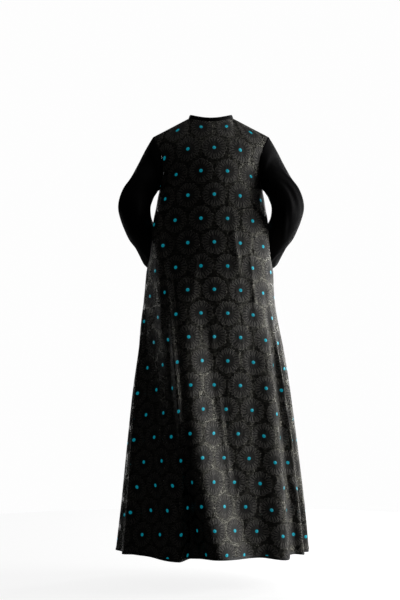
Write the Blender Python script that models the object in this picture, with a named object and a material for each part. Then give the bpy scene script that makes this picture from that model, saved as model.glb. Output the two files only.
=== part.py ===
# Abaya: a full-length A-line robe worn on a general figure, seen best from behind.
# Metres, +Z up. The front faces -Y and the wearer's left is +X.
# The origin is at the nape, in the middle of the neck opening, where the wearer holds the robe up.
# A turn of 0 degrees is the centre back, 90 the left side, 180 the centre front and -90 the right side.
# Down is the distance below the nape: 0 along the neck and shoulder edge, LENGTH at the hem.

from math import asin, ceil, cos, degrees, exp, pi, radians, sin

import bmesh
import bpy
from mathutils import Vector

# Driving sizes
LENGTH = 1.403
UNDERARM_DOWN = 0.223
NECK_HALF_WIDTH = 0.072
NECK_BACK_DEPTH = 0.055
NECK_FRONT_DEPTH = 0.070
NECK_SIDE_RISE = 0.015
NECK_FRONT_DROP = 0.075
NECK_FRONT_ROUND = 1.5
NECK_SHARE = 0.36
OUTER_WALL = 0.0012
LINING_WALL = 0.0010
SLEEVE_WALL = 0.0015
BAND_WALL = 0.0014
BAND_HEIGHT = 0.009
BAND_SEAT = 0.0013
BAND_LEAN = 0.35
SEAM_GAP = 0.0003
SEAM_ROOM = 1.5 * SEAM_GAP
LAP_HALF = 0.0125
LAP_LIFT = 0.0024
LAP_RAMP = 0.035

# Armhole, the closed line that both the body and the sleeve end on
ARMHOLE_CENTRE = Vector((0.180, 0.0, -0.135))
ARMHOLE_HALF_HEIGHT = 0.088
ARMHOLE_HALF_DEPTH = 0.058
ARMHOLE_BOW = 0.022
ARMHOLE_TILT = radians(83.5)

# Yoke: how flat its rows run to the armhole, how late they rise to it, how round the shoulder is,
# and how far down the top edge is felt
YOKE_FLATNESS = 0.42
YOKE_LIFT_TOP = 2.0
YOKE_LIFT_GAIN = 2.0
SHOULDER_ROLL = 0.03
TOP_EDGE_REACH = 0.10

# Body sections: half widths and depths of the cloth's outline without its folds
SECTION_COLUMNS = ("down", "left", "right", "back", "front")
SECTIONS = (
    (0.000, 0.190, 0.190, 0.055, 0.070),
    (0.050, 0.186, 0.186, 0.086, 0.096),
    (0.120, 0.176, 0.176, 0.110, 0.122),
    (0.223, 0.170, 0.170, 0.120, 0.138),
    (0.330, 0.199, 0.197, 0.121, 0.141),
    (0.490, 0.212, 0.205, 0.129, 0.137),
    (0.600, 0.220, 0.210, 0.146, 0.140),
    (0.750, 0.232, 0.233, 0.164, 0.150),
    (0.910, 0.249, 0.253, 0.173, 0.163),
    (1.070, 0.264, 0.272, 0.186, 0.177),
    (1.250, 0.280, 0.292, 0.197, 0.192),
    (1.403, 0.296, 0.305, 0.207, 0.203),
)

# Folds: each crest starts at one height and runs to the hem, growing as it goes.
# A bend above 1 gives most of its sideways way early, below 1 late.
# The flanks are how far, in degrees, the crest takes to die out on its left and right.
FOLD_COLUMNS = (
    "start", "turn_start", "turn_hem", "bend", "height", "left_flank", "right_flank", "drop", "edge",
)
FOLDS = (
    (0.50, 92.0, 90.0, 1.0, 0.016, 14.0, 12.0, 0.000, 1.2),
    (0.42, 86.0, 64.0, 1.5, 0.022, 10.0, 9.0, 0.000, 1.6),
    (0.20, 72.0, 17.5, 2.9, 0.052, 30.0, 5.2, 0.005, 1.2),
    (0.40, 30.0, -4.0, 0.8, 0.080, 12.0, 23.0, -0.006, 1.0),
    (0.46, -50.0, -47.0, 1.0, 0.032, 18.0, 10.0, 0.010, 1.0),
    (0.48, -63.0, -67.0, 1.0, 0.022, 8.0, 8.0, 0.003, 1.7),
    (0.55, -76.0, -79.0, 1.0, 0.018, 8.0, 8.0, 0.000, 1.6),
    (0.50, -93.0, -94.0, 1.0, 0.018, 11.0, 13.0, 0.000, 1.2),
    (0.42, 112.0, 113.0, 1.0, 0.028, 13.0, 12.0, 0.002, 1.4),
    (0.50, 134.0, 138.0, 1.0, 0.022, 12.0, 12.0, 0.000, 1.2),
    (0.40, 154.0, 161.0, 1.0, 0.024, 11.0, 10.0, 0.002, 1.5),
    (0.44, -115.0, -117.0, 1.0, 0.024, 12.0, 13.0, 0.000, 1.3),
    (0.52, -134.0, -140.0, 1.0, 0.026, 12.0, 12.0, 0.003, 1.4),
    (0.38, -153.0, -160.0, 1.0, 0.020, 10.0, 11.0, 0.000, 1.3),
)

# How a fold grows from its start to the hem, and how little of a steep one the lining follows
FOLD_RISE = 2.2
FOLD_FIRST_SHARE = 0.45
STEEP_FLANK = 7.0
STEEP_POWER = 6.0

NAMED_FOLDS = [dict(zip(FOLD_COLUMNS, row)) for row in sorted(FOLDS, key=lambda row: row[2])]

# Dents where the bent arms press the cloth in, the same on both sides
PRESS_COLUMNS = ("turn", "down", "depth", "half_turn", "half_down")
PRESSES = (
    (97.0, 0.370, 0.038, 30.0, 0.130),
    (116.0, 0.400, 0.032, 27.0, 0.120),
)

# Left sleeve rings: centre, half sizes across and deep, and the tilt of the outer side
SLEEVE_COLUMNS = ("along", "x", "y", "z", "across", "deep", "tilt")
SLEEVE_RINGS = (
    (0.000, 0.1800, 0.000, -0.1350, 0.088, 0.058, 83.5),
    (0.027, 0.1943, 0.005, -0.1568, 0.074, 0.058, 76.1),
    (0.059, 0.2075, 0.014, -0.1845, 0.059, 0.056, 63.2),
    (0.096, 0.2230, 0.030, -0.2145, 0.050, 0.054, 41.3),
    (0.135, 0.2405, 0.043, -0.2470, 0.052, 0.053, 16.9),
    (0.175, 0.2498, 0.050, -0.2845, 0.053, 0.053, 2.7),
    (0.223, 0.2430, 0.026, -0.3260, 0.050, 0.052, 0.0),
    (0.287, 0.2265, -0.027, -0.3590, 0.048, 0.052, 0.0),
    (0.362, 0.2050, -0.092, -0.3900, 0.051, 0.054, 0.0),
    (0.457, 0.1790, -0.172, -0.4340, 0.056, 0.056, 0.0),
)

# How finely each piece is divided
# The sleeves have two sides for each yoke row, so that both meet point to point at the armhole.
BACK_COLUMNS = 46
FRONT_COLUMNS = 24
YOKE_ROWS = 9
SKIRT_ROWS = 10
LINING_BACK_COLUMNS = 46
LINING_FRONT_COLUMNS = 12
LINING_SKIRT_ROWS = 10
SLEEVE_SIDES = 2 * YOKE_ROWS
SLEEVE_STEPS = 14
BAND_COLUMNS = 44

# Lining: inside the outer cloth, with flatter folds and a shorter hem
LINING_GAP_TOP = 0.0040
LINING_GAP_HEM = 0.0080
LINING_FOLD_SHARE = 0.70
LINING_HEM_SHORT = 0.002
LINING_EDGE_BACK = 0.012
LINING_TOP = 0.012
LINING_LOOSE_DOWN = 0.35

# How far to look for the cloth's own slope, and the shoulder seam's rounded strip
NORMAL_TURN = 0.05
NORMAL_DOWN = 0.0005
RIDGE_DOWN = 0.010
RIDGE_FROM = 0.45
RIDGE_BLEND = 0.15
SLEEVE_LOOK = 0.024
NECK_LOOK = 1.0

# How far along the arm a sleeve turns from the armhole's plane and loses its bow
SLEEVE_TURN_END = 0.05
SLEEVE_BOW_END = 0.06

# Points closer than this are one, and edges bent by more than this angle are sharp
SAME_POINT = 0.00001
SHARP_ANGLE = 50.0


def smooth(t):
    """Ease from 0 to 1 as t goes from 0 to 1."""
    t = min(max(t, 0.0), 1.0)
    return t * t * (3.0 - 2.0 * t)


def through(table, columns, key, value, name):
    """The named column of a table at a value of its key column, on a smooth curve through the rows."""
    at = columns.index(key)
    of = columns.index(name)
    last = len(table) - 2
    i = 0
    while i < last and value > table[i + 1][at]:
        i += 1
    before = table[max(i - 1, 0)]
    low = table[i]
    high = table[i + 1]
    after = table[min(i + 2, len(table) - 1)]
    step = high[at] - low[at]
    t = min(max((value - low[at]) / step, 0.0), 1.0)
    slope_low = (high[of] - before[of]) / (high[at] - before[at]) * step
    slope_high = (after[of] - low[of]) / (after[at] - low[at]) * step
    return ((2 * t ** 3 - 3 * t ** 2 + 1) * low[of] + (t ** 3 - 2 * t ** 2 + t) * slope_low
            + (3 * t ** 2 - 2 * t ** 3) * high[of] + (t ** 3 - t ** 2) * slope_high)


def section(down, name):
    return through(SECTIONS, SECTION_COLUMNS, "down", down, name)


def turn_between(a, b):
    """The shortest way from turn b to turn a, in degrees."""
    return (a - b + 180.0) % 360.0 - 180.0


def crest_turn(fold, down):
    """The turn of a fold's crest at a height."""
    grown = min(max(down - fold["start"], 0.0) / (LENGTH - fold["start"]), 1.0)
    gone = 1.0 - (1.0 - grown) ** fold["bend"]
    return fold["turn_start"] + (fold["turn_hem"] - fold["turn_start"]) * gone


def fold_height(turn, down, fold_share):
    """How far the folds stand out of the plain section, and how far they lower the hem."""
    out = 0.0
    lower = 0.0
    for fold in NAMED_FOLDS:
        grown = (down - fold["start"]) / (LENGTH - fold["start"])
        if grown <= 0.0:
            continue
        away = turn_between(turn, crest_turn(fold, down))
        flank = fold["left_flank"] if away > 0.0 else fold["right_flank"]
        if abs(away) >= flank:
            continue
        swell = (0.5 + 0.5 * cos(pi * away / flank)) ** fold["edge"]
        size = smooth(grown * FOLD_RISE) * (FOLD_FIRST_SHARE + (1.0 - FOLD_FIRST_SHARE) * grown)
        steep = fold["right_flank"] < STEEP_FLANK
        out += fold["height"] * size * swell * fold_share ** (STEEP_POWER if steep else 1.0)
        lower += fold["drop"] * smooth(grown) * swell
    return out, lower


def press_depth(turn, down):
    """How far the bent arms press the cloth in."""
    depth = 0.0
    for row in PRESSES:
        press = dict(zip(PRESS_COLUMNS, row))
        across = abs(turn_between(abs(turn), press["turn"])) / press["half_turn"]
        along = abs(down - press["down"]) / press["half_down"]
        if across < 1.0 and along < 1.0:
            depth += press["depth"] * (0.5 + 0.5 * cos(pi * across)) * (0.5 + 0.5 * cos(pi * along))
    return depth


def neck_point(around):
    """A point of the neck edge, going round by degrees from the nape."""
    a = radians(around)
    x = NECK_HALF_WIDTH * sin(a)
    if cos(a) >= 0.0:
        return Vector((x, NECK_BACK_DEPTH * cos(a), NECK_SIDE_RISE * sin(a) ** 2))
    fall = (NECK_SIDE_RISE + NECK_FRONT_DROP) * abs(cos(a)) ** NECK_FRONT_ROUND
    return Vector((x, NECK_FRONT_DEPTH * cos(a), NECK_SIDE_RISE - fall))


def armhole_point(around, side):
    """A point of the armhole line, by degrees from its top over its back edge."""
    a = radians(around)
    up = Vector((cos(ARMHOLE_TILT), 0.0, sin(ARMHOLE_TILT)))
    point = ARMHOLE_CENTRE + up * (ARMHOLE_HALF_HEIGHT * cos(a))
    point += Vector((-ARMHOLE_BOW * sin(a) ** 2, ARMHOLE_HALF_DEPTH * sin(a), 0.0))
    return Vector((point.x * side, point.y, point.z))


def neck_turn(around):
    """The turn at which the body's top edge holds a point of the neck edge."""
    if abs(around) <= 90.0:
        return around * NECK_SHARE
    past_side = 180.0 - abs(around)
    return (180.0 - past_side * NECK_SHARE) * (1.0 if around > 0.0 else -1.0)


def top_edge(turn, front):
    """The neck and shoulder edge of the back, or of the fronts."""
    share = -turn_between(turn, 180.0) / 90.0 if front else turn / 90.0
    if abs(share) <= NECK_SHARE:
        around = share / NECK_SHARE * 90.0
        return neck_point(180.0 - around if front else around)
    side = 1.0 if share > 0.0 else -1.0
    along = (abs(share) - NECK_SHARE) / (1.0 - NECK_SHARE)
    return neck_point(90.0 * side).lerp(armhole_point(0.0, side), along)


def section_point(turn, down):
    """A point of the body's plain section, and the way out of it."""
    a = radians(turn)
    left, right, back, front = (section(down, name) for name in ("left", "right", "back", "front"))
    half = 0.5 * (left + right) + 0.5 * (left - right) * sin(a)
    depth = 0.5 * (back + front) + 0.5 * (back - front) * cos(a)
    outward = Vector((sin(a) / half, cos(a) / depth, 0.0)).normalized()
    return Vector((half * sin(a), depth * cos(a), -down)), outward


def yoke_point(turn, down, front):
    """A point above the underarm: its row runs in an arc from the centre line to the armhole."""
    v = down / UNDERARM_DOWN
    middle = 180.0 if front else 0.0
    from_middle = abs(turn_between(turn, middle)) / 90.0
    side = 1.0 if sin(radians(turn)) >= 0.0 else -1.0
    arc = 90.0 * (1.0 - YOKE_FLATNESS * sin(pi * v))
    across = sin(radians(arc * from_middle)) / sin(radians(arc))
    along = (1.0 - cos(radians(arc * from_middle))) / (1.0 - cos(radians(arc)))
    centre = section_point(middle, down)[0]
    neck_level = -NECK_FRONT_DROP * (1.0 - v) if front else 0.0
    roll = from_middle ** 2 * exp(-down / SHOULDER_ROLL)
    way = -180.0 if front else 180.0
    edge = armhole_point(way * v, side)
    level = neck_level * (1.0 - from_middle) ** 2 - down * (1.0 - roll)
    point = Vector((edge.x * across, centre.y + (edge.y - centre.y) * along, level))
    point.z += (edge.z - level) * from_middle ** (YOKE_LIFT_TOP + YOKE_LIFT_GAIN * v)
    fade = max(1.0 - down / TOP_EDGE_REACH, 0.0) ** 2
    if fade > 0.0:
        tip = armhole_point(0.0, side)
        round_top = section_point(middle, 0.0)[0].y * cos(radians(90.0 * from_middle))
        start = Vector((tip.x * sin(radians(90.0 * from_middle)), round_top, 0.0))
        top_level = -NECK_FRONT_DROP * (1.0 - from_middle) ** 2 if front else 0.0
        start.z = top_level + (tip.z - top_level) * from_middle ** 2
        point += (top_edge(turn, front) - start) * fade
    return point, section_point(turn, UNDERARM_DOWN)[1]


def plain_point(turn, down, front, fold_share):
    """A point of the body's cloth: its plain form, the presses of the arms and the folds."""
    if down < UNDERARM_DOWN:
        point, outward = yoke_point(turn, down, front)
    else:
        point, outward = section_point(turn, down)
    folds, lower = fold_height(turn, down, fold_share)
    point.z -= lower
    return point + outward * (folds - press_depth(turn, down))


def cloth_point(turn, down, front, lift, fold_share=1.0):
    """A point of the body's cloth moved out of it by lift, along its own normal."""
    from_centre = turn_between(turn, 180.0) if front else turn
    turn_step = NORMAL_TURN if from_centre < 0.0 else -NORMAL_TURN
    down_step = NORMAL_DOWN if down < LENGTH - NORMAL_DOWN else -NORMAL_DOWN
    here = plain_point(turn, down, front, fold_share)
    beside = plain_point(turn + turn_step, down, front, fold_share)
    below = plain_point(turn, down + down_step, front, fold_share)
    normal = (beside - here).cross(below - here)
    if turn_step * down_step < 0.0:
        normal.negate()
    if down < RIDGE_DOWN:
        shoulder = smooth((abs(sin(radians(turn))) - RIDGE_FROM) / RIDGE_BLEND)
        normal.y *= 1.0 - shoulder * (1.0 - down / RIDGE_DOWN)
    return here + normal.normalized() * lift


def down_at(v, skirt_rows, hem):
    """The distance below the nape at v from 0 to 1: the yoke's rows first, then the skirt's."""
    row = v * (YOKE_ROWS + skirt_rows)
    if row <= YOKE_ROWS:
        return max(UNDERARM_DOWN * row / YOKE_ROWS, SEAM_GAP)
    return UNDERARM_DOWN + (hem - UNDERARM_DOWN) * (row - YOKE_ROWS) / skirt_rows


def seam_turn(down):
    """The turn that keeps the inner edges of two panels a seam gap apart, also where the cloth bends."""
    return degrees(SEAM_ROOM / section(down, "left"))


def column_turn(u, down, low, high, columns):
    """The turn of a panel's column between its low and high edges, with columns along the crests."""
    knots = [(0, low)]
    for fold in NAMED_FOLDS:
        share = (fold["turn_hem"] - low) / (high - low)
        column = round(share * columns)
        crest = crest_turn(fold, down)
        if knots[-1][0] < column < columns - 1 and share * columns > 1.0:
            valley = column - ceil(fold["right_flank"] / (high - low) * columns)
            if fold["right_flank"] < STEEP_FLANK and valley > knots[-1][0]:
                knots.append((valley, crest - fold["right_flank"]))
            knots.append((column, crest))
    knots.append((columns, high))
    place = u * columns
    for (first, start), (last, end) in zip(knots, knots[1:]):
        if place <= last:
            return start + (end - start) * (place - first) / (last - first)
    return high


def back_place(u, down, columns):
    reach = 90.0 - seam_turn(down)
    return column_turn(u, down, -reach, reach, columns)


def front_place(u, down, side, past_centre, columns):
    """The turn of a front's point: from its side seam to the centre and as far past it as given."""
    start = 90.0 + seam_turn(down)
    end = 180.0 + degrees(asin(past_centre / section(down, "left")))
    if side > 0:
        return column_turn(u, down, start, end, columns)
    return column_turn(1.0 - u, down, -end, -start, columns)


def lap_lift(x, side):
    """The right front lies on the left front, so it stands out near its edge."""
    if side > 0:
        return 0.0
    return LAP_LIFT * smooth((x + LAP_HALF + LAP_RAMP) / LAP_RAMP)


def outer_back(u, v, depth):
    down = down_at(v, SKIRT_ROWS, LENGTH)
    return cloth_point(back_place(u, down, BACK_COLUMNS), down, False, -OUTER_WALL * depth)


def outer_front(u, v, depth, side):
    down = down_at(v, SKIRT_ROWS, LENGTH)
    turn = front_place(u, down, side, LAP_HALF, FRONT_COLUMNS)
    x = plain_point(turn, down, True, 1.0).x
    return cloth_point(turn, down, True, lap_lift(x, side) - OUTER_WALL * depth)


def lining_depth(down, depth):
    gap = LINING_GAP_TOP + (LINING_GAP_HEM - LINING_GAP_TOP) * smooth(down / LINING_LOOSE_DOWN)
    return -OUTER_WALL - gap - LINING_WALL * depth


def lining_down(v):
    return max(down_at(v, LINING_SKIRT_ROWS, LENGTH - LINING_HEM_SHORT), LINING_TOP)


def lining_back(u, v, depth):
    down = lining_down(v)
    turn = back_place(u, down, LINING_BACK_COLUMNS)
    return cloth_point(turn, down, False, lining_depth(down, depth), LINING_FOLD_SHARE)


def lining_front(u, v, depth, side):
    down = lining_down(v)
    turn = front_place(u, down, side, -LINING_EDGE_BACK, LINING_FRONT_COLUMNS)
    return cloth_point(turn, down, True, lining_depth(down, depth), LINING_FOLD_SHARE)


def sleeve_path(along):
    return Vector([through(SLEEVE_RINGS, SLEEVE_COLUMNS, "along", along, name) for name in "xyz"])


def sleeve_point(u, v, depth, side):
    """A point of a sleeve: u goes round the ring and v from the armhole to the cuff."""
    length = SLEEVE_RINGS[-1][0]
    along = length * v
    tilt = radians(through(SLEEVE_RINGS, SLEEVE_COLUMNS, "along", along, "tilt"))
    outer_side = Vector((cos(tilt), 0.0, sin(tilt)))
    square = Vector((sin(ARMHOLE_TILT), 0.0, -cos(ARMHOLE_TILT)))
    path = sleeve_path(min(along + SLEEVE_LOOK, length)) - sleeve_path(max(along - SLEEVE_LOOK, 0.0))
    heading = square.lerp(path.normalized(), smooth(along / SLEEVE_TURN_END)).normalized()
    deep_way = outer_side.cross(heading).normalized()
    across = through(SLEEVE_RINGS, SLEEVE_COLUMNS, "along", along, "across") - SLEEVE_WALL * depth
    deep = through(SLEEVE_RINGS, SLEEVE_COLUMNS, "along", along, "deep") - SLEEVE_WALL * depth
    a = 2.0 * pi * u
    point = sleeve_path(along) + outer_side * (across * cos(a)) + deep_way * (deep * sin(a))
    point.x += SEAM_ROOM - ARMHOLE_BOW * sin(a) ** 2 * (1.0 - smooth(along / SLEEVE_BOW_END))
    return Vector((point.x * side, point.y, point.z))


def band_point(u, v, depth):
    """The neck band: it stands on the neck edge, and its right end laps over its left."""
    lap = degrees(asin(LAP_HALF / NECK_HALF_WIDTH))
    around = (180.0 + lap) * (1.0 - 2.0 * u)
    front = abs(around) > 90.0
    lift = lap_lift(neck_point(around).x, -1) if around < -90.0 else 0.0
    edge = cloth_point(neck_turn(around), 0.0, front, lift)
    ahead = neck_point(around + NECK_LOOK) - neck_point(around - NECK_LOOK)
    inward = Vector((-edge.x, -edge.y, 0.0)).normalized()
    rise = (Vector((0.0, 0.0, 1.0)) + inward * BAND_LEAN).normalized()
    inside = ahead.cross(rise).normalized()
    if inside.dot(inward) < 0.0:
        inside.negate()
    return edge + rise * (BAND_SEAT + BAND_HEIGHT * v) + inside * (BAND_WALL * depth)


def material(name, colour, roughness):
    made = bpy.data.materials.new(name)
    made.use_nodes = True
    shader = made.node_tree.nodes["Principled BSDF"]
    shader.inputs["Base Color"].default_value = (*colour, 1.0)
    shader.inputs["Roughness"].default_value = roughness
    shader.inputs["Metallic"].default_value = 0.0
    return made


def wall(name, columns, rows, place, cloth, closed_ring=False):
    """One closed wall: a flat slab, one unit thick, whose points are then placed by the function."""
    shape = bmesh.new()
    bmesh.ops.create_grid(shape, x_segments=columns, y_segments=rows, size=0.5)
    bmesh.ops.solidify(shape, geom=shape.faces[:], thickness=1.0)
    bmesh.ops.recalc_face_normals(shape, faces=shape.faces[:])
    if closed_ring:
        ends = [f for f in shape.faces if len({round(v.co.x, 4) for v in f.verts}) == 1]
        bmesh.ops.delete(shape, geom=ends, context="FACES_ONLY")
    for v in shape.verts:
        v.co = place(v.co.x + 0.5, v.co.y + 0.5, min(abs(v.co.z), 1.0))
    if closed_ring:
        bmesh.ops.remove_doubles(shape, verts=shape.verts[:], dist=SAME_POINT)
    if shape.calc_volume(signed=True) < 0.0:
        bmesh.ops.reverse_faces(shape, faces=shape.faces[:])
    mesh = bpy.data.meshes.new(name)
    shape.to_mesh(mesh)
    shape.free()
    mesh.materials.append(cloth)
    mesh.shade_smooth()
    mesh.set_sharp_from_angle(angle=radians(SHARP_ANGLE))
    piece = bpy.data.objects.new(name, mesh)
    bpy.context.scene.collection.objects.link(piece)
    return piece


for old in list(bpy.data.objects):
    bpy.data.objects.remove(old)

organza = material("flowered_organza", (0.045, 0.045, 0.042), 0.40)
black_lining = material("black_lining", (0.006, 0.006, 0.007), 0.75)
black_crepe = material("black_crepe", (0.010, 0.010, 0.011), 0.60)

rows = YOKE_ROWS + SKIRT_ROWS
lining_rows = YOKE_ROWS + LINING_SKIRT_ROWS

wall("back_panel", BACK_COLUMNS, rows, outer_back, organza)
wall("lining_back", LINING_BACK_COLUMNS, lining_rows, lining_back, black_lining)
for side, hand in ((1, "left"), (-1, "right")):
    wall(f"{hand}_front", FRONT_COLUMNS, rows,
         lambda u, v, depth: outer_front(u, v, depth, side), organza)
    wall(f"lining_{hand}_front", LINING_FRONT_COLUMNS, lining_rows,
         lambda u, v, depth: lining_front(u, v, depth, side), black_lining)
    wall(f"{hand}_sleeve", SLEEVE_SIDES, SLEEVE_STEPS,
         lambda u, v, depth: sleeve_point(u, v, depth, side), black_crepe, closed_ring=True)
wall("neck_band", BAND_COLUMNS, 1, band_point, black_crepe)
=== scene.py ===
# Abaya: a full-length A-line robe of sheer flowered organza over a black lining, with plain crepe sleeves.
# Metres, +Z up. The front faces -Y and the wearer's left is +X. The origin is at the nape.
# A turn of 0 degrees is the centre back, 90 the left side, 180 the centre front and -90 the right side.

from functools import lru_cache
from math import asin, cos, degrees, exp, pi, radians, sin

import bmesh
import bpy
from mathutils import Euler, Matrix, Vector


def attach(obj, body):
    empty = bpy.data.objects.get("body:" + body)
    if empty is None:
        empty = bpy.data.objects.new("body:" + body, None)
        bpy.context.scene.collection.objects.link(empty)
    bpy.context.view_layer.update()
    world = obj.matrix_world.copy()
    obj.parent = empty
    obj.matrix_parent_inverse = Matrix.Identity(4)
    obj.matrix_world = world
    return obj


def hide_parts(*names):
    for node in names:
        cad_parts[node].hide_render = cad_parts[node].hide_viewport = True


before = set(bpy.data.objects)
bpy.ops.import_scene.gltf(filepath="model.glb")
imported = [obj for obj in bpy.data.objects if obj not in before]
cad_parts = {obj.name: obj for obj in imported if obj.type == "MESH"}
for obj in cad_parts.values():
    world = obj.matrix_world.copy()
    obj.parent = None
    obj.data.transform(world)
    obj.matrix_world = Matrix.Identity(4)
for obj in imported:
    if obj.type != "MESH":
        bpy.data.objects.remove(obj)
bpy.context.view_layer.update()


# Back panel.
# One flared piece of sheer organza, cut with its grain down the centre back, joined at the shoulders,
# armholes and side seams. It hangs from the shoulders in soft folds that grow towards the hem.
LENGTH = 1.403
UNDERARM_DOWN = 0.223
NECK_HALF_WIDTH = 0.072
NECK_BACK_DEPTH = 0.055
NECK_FRONT_DEPTH = 0.070
NECK_SIDE_RISE = 0.015
NECK_FRONT_DROP = 0.075
NECK_FRONT_ROUND = 1.5
NECK_LOOK = 1.0
NECK_SHARE = 0.36
SEAM_GAP = 0.0003
SEAM_ROOM = 1.5 * SEAM_GAP
SIDE_SEAM = 0.00005
ARMHOLE_CENTRE = Vector((0.180, 0.0, -0.135))
ARMHOLE_HALF_HEIGHT = 0.088
ARMHOLE_HALF_DEPTH = 0.058
ARMHOLE_BOW = 0.022
ARMHOLE_TILT = radians(83.5)
YOKE_FLATNESS = 0.42
YOKE_LIFT_TOP = 2.0
YOKE_LIFT_GAIN = 2.0
SHOULDER_ROLL = 0.03
TOP_EDGE_REACH = 0.10
NORMAL_TURN = 0.05
NORMAL_DOWN = 0.0005
RIDGE_DOWN = 0.010
RIDGE_FROM = 0.45
RIDGE_BLEND = 0.15
FOLD_RISE = 2.2
FOLD_FIRST_SHARE = 0.45
STEEP_FLANK = 7.0
STEEP_POWER = 6.0
CREASE_ROUND = 0.8
KNOT_FROM_EDGE = 0.04

SECTION_COLUMNS = ("down", "left", "right", "back", "front")
SECTIONS = (
    (0.000, 0.190, 0.190, 0.055, 0.070),
    (0.050, 0.186, 0.186, 0.086, 0.096),
    (0.120, 0.176, 0.176, 0.110, 0.122),
    (0.223, 0.170, 0.170, 0.120, 0.138),
    (0.330, 0.199, 0.197, 0.121, 0.141),
    (0.490, 0.212, 0.205, 0.129, 0.137),
    (0.600, 0.220, 0.210, 0.146, 0.140),
    (0.750, 0.232, 0.233, 0.164, 0.150),
    (0.910, 0.249, 0.253, 0.173, 0.163),
    (1.070, 0.264, 0.272, 0.186, 0.177),
    (1.250, 0.280, 0.292, 0.197, 0.192),
    (1.403, 0.296, 0.305, 0.207, 0.203),
)

# Folds: each crest runs from its start to the hem and grows as it goes.
# A bend above 1 makes most of its sideways way early, below 1 late.
FOLD_COLUMNS = (
    "start", "turn_start", "turn_hem", "bend", "height", "left_flank", "right_flank", "drop", "edge",
)
FOLDS = (
    (0.50, 92.0, 90.0, 1.0, 0.016, 14.0, 12.0, 0.000, 1.2),
    (0.42, 86.0, 64.0, 1.5, 0.022, 10.0, 9.0, 0.000, 1.6),
    (0.20, 72.0, 17.5, 2.9, 0.052, 30.0, 5.2, 0.005, 1.2),
    (0.40, 30.0, -4.0, 0.8, 0.080, 12.0, 23.0, -0.006, 1.0),
    (0.46, -50.0, -47.0, 1.0, 0.032, 18.0, 10.0, 0.010, 1.0),
    (0.48, -63.0, -67.0, 1.0, 0.022, 8.0, 8.0, 0.003, 1.7),
    (0.55, -76.0, -79.0, 1.0, 0.018, 8.0, 8.0, 0.000, 1.6),
    (0.50, -93.0, -94.0, 1.0, 0.018, 11.0, 13.0, 0.000, 1.2),
    (0.42, 112.0, 113.0, 1.0, 0.028, 13.0, 12.0, 0.002, 1.4),
    (0.50, 134.0, 138.0, 1.0, 0.022, 12.0, 12.0, 0.000, 1.2),
    (0.40, 154.0, 161.0, 1.0, 0.024, 11.0, 10.0, 0.002, 1.5),
    (0.44, -115.0, -117.0, 1.0, 0.024, 12.0, 13.0, 0.000, 1.3),
    (0.52, -134.0, -140.0, 1.0, 0.026, 12.0, 12.0, 0.003, 1.4),
    (0.38, -153.0, -160.0, 1.0, 0.020, 10.0, 11.0, 0.000, 1.3),
)
NAMED_FOLDS = [dict(zip(FOLD_COLUMNS, row)) for row in sorted(FOLDS, key=lambda row: row[2])]

# Dents where the bent arms press the cloth in, the same on both sides
PRESS_COLUMNS = ("turn", "down", "depth", "half_turn", "half_down")
PRESSES = (
    (97.0, 0.370, 0.038, 30.0, 0.130),
    (116.0, 0.400, 0.032, 27.0, 0.120),
)
NAMED_PRESSES = [dict(zip(PRESS_COLUMNS, row)) for row in PRESSES]

# Creases of the outer cloth: soft ridges, or troughs where the height is below zero, along straight lines
CREASE_COLUMNS = ("down_top", "turn_top", "down_low", "turn_low", "height", "half_turn")
CREASES = (
    (0.62, 0.0, 0.83, -3.0, 0.0030, 3.2),
    (0.80, -3.0, 1.06, -9.3, 0.0045, 3.0),
    (1.02, -8.6, 1.20, -13.0, 0.0050, 2.8),
    (1.17, -12.2, 1.31, -14.0, 0.0045, 2.2),
    (1.29, -13.5, 1.40, -19.5, 0.0050, 2.4),
    (1.17, -17.0, 1.28, -15.0, 0.0030, 2.0),
    (1.22, -10.0, 1.36, -11.5, 0.0030, 2.2),
    (0.36, 30.0, 0.56, 22.0, 0.0040, 5.0),
    (0.40, 12.0, 0.60, 16.0, 0.0035, 4.0),
    (0.33, -20.0, 0.52, -26.0, 0.0040, 5.0),
    (0.42, -38.0, 0.66, -42.0, 0.0040, 4.0),
    (0.50, 44.0, 0.72, 36.0, -0.0040, 4.0),
    (0.64, 72.0, 0.90, 66.0, 0.0040, 3.0),
    (0.86, 68.0, 1.13, 60.0, 0.0045, 3.0),
    (0.60, 84.0, 0.78, 80.0, 0.0035, 3.0),
    (1.02, 78.0, 1.30, 74.0, 0.0040, 3.0),
    (0.70, -62.0, 0.92, -64.0, 0.0045, 2.2),
    (0.74, -71.0, 0.95, -70.0, -0.0040, 2.0),
    (0.90, -63.0, 1.10, -67.0, 0.0050, 2.0),
    (0.98, -72.0, 1.22, -73.0, 0.0050, 2.0),
    (1.12, -60.0, 1.24, -66.0, 0.0045, 2.2),
    (1.20, -76.0, 1.38, -79.0, 0.0045, 2.2),
    (0.62, -80.0, 0.84, -82.0, 0.0040, 2.6),
    (0.30, 125.0, 0.52, 130.0, 0.0040, 4.0),
    (0.62, 122.0, 0.90, 126.0, 0.0040, 3.0),
    (0.34, 150.0, 0.60, 146.0, -0.0040, 4.0),
    (0.88, 148.0, 1.20, 151.0, 0.0050, 3.0),
    (0.20, -150.0, 0.44, -140.0, 0.0040, 4.0),
    (0.56, -126.0, 0.86, -124.0, 0.0045, 3.0),
    (0.90, -148.0, 1.24, -150.0, 0.0050, 3.0),
    (0.70, 172.0, 1.02, 174.0, 0.0035, 2.4),
    (1.04, -104.0, 1.34, -106.0, 0.0045, 3.0),
    (1.00, 100.0, 1.32, 101.0, 0.0045, 3.0),
)
NAMED_CREASES = [dict(zip(CREASE_COLUMNS, row)) for row in CREASES]


def smooth(t):
    """Ease from 0 to 1 as t goes from 0 to 1."""
    t = min(max(t, 0.0), 1.0)
    return t * t * (3.0 - 2.0 * t)


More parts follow.
